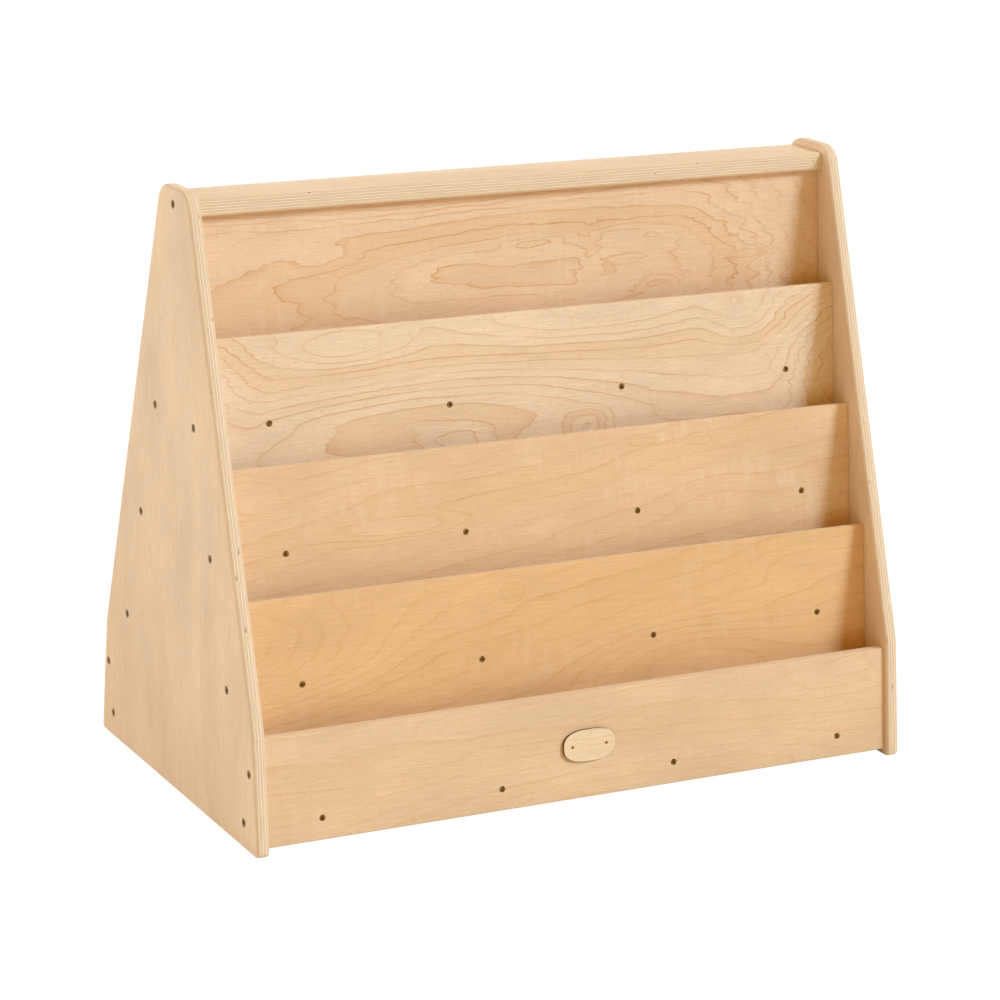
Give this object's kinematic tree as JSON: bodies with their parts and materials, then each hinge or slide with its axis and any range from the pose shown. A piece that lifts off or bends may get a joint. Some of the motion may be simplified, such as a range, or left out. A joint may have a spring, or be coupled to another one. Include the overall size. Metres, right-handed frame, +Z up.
{
  "type": "kids display bookcase",
  "caption": "Double-sided A-frame display bookcase for children in birch plywood, with leaning boards that form shallow face-out book pockets on both faces.",
  "frame": {"origin": "on the ground, in the middle of the bookcase", "axes": "+X along the width to the viewer's right, +Y from the front to the rear, +Z up"},
  "size_m": [0.8, 0.4564, 0.677],
  "materials": {
    "side_panel": "clear satin lacquer on birch plywood",
    "rail": "clear satin lacquer on birch plywood",
    "tier_panel": "clear satin lacquer on birch plywood",
    "kick_panel": "clear satin lacquer on birch plywood",
    "pocket_floor": "clear satin lacquer on birch plywood",
    "plaque": "thin birch plate with a browned cut edge",
    "screw": "bronzed, semi-matt"
  },
  "bodies": {
    "root": {"side_left": "side_panel", "side_right": "side_panel", "top_rail": "rail", "front_top_panel": "tier_panel", "front_tier_panel_1": "tier_panel", "front_tier_panel_2": "tier_panel", "front_tier_panel_3": "tier_panel", "front_kick_panel": "kick_panel", "front_pocket_floor_1": "pocket_floor", "front_pocket_floor_2": "pocket_floor", "front_pocket_floor_3": "pocket_floor", "front_pocket_floor_4": "pocket_floor", "rear_top_panel": "tier_panel", "rear_tier_panel_1": "tier_panel", "rear_tier_panel_2": "tier_panel", "rear_tier_panel_3": "tier_panel", "rear_kick_panel": "kick_panel", "rear_pocket_floor_1": "pocket_floor", "rear_pocket_floor_2": "pocket_floor", "rear_pocket_floor_3": "pocket_floor", "rear_pocket_floor_4": "pocket_floor", "plaque": "plaque", "side_screw_left_rail": "screw", "side_screw_left_front_kick": "screw", "side_screw_left_front_floor_1": "screw", "side_screw_left_front_floor_2": "screw", "side_screw_left_front_floor_3": "screw", "side_screw_left_front_floor_4": "screw", "side_screw_left_rear_kick": "screw", "side_screw_left_rear_floor_1": "screw", "side_screw_left_rear_floor_2": "screw", "side_screw_left_rear_floor_3": "screw", "side_screw_left_rear_floor_4": "screw", "side_screw_right_rail": "screw", "side_screw_right_front_kick": "screw", "side_screw_right_front_floor_1": "screw", "side_screw_right_front_floor_2": "screw", "side_screw_right_front_floor_3": "screw", "side_screw_right_front_floor_4": "screw", "side_screw_right_rear_kick": "screw", "side_screw_right_rear_floor_1": "screw", "side_screw_right_rear_floor_2": "screw", "side_screw_right_rear_floor_3": "screw", "side_screw_right_rear_floor_4": "screw", "front_screw_1_1": "screw", "front_screw_1_2": "screw", "front_screw_1_3": "screw", "front_screw_1_4": "screw", "front_screw_2_1": "screw", "front_screw_2_2": "screw", "front_screw_2_3": "screw", "front_screw_2_4": "screw", "front_screw_3_1": "screw", "front_screw_3_2": "screw", "front_screw_3_3": "screw", "front_screw_3_4": "screw", "front_screw_4_1": "screw", "front_screw_4_2": "screw", "front_screw_4_3": "screw", "front_screw_4_4": "screw"}
  },
  "joints": []
}
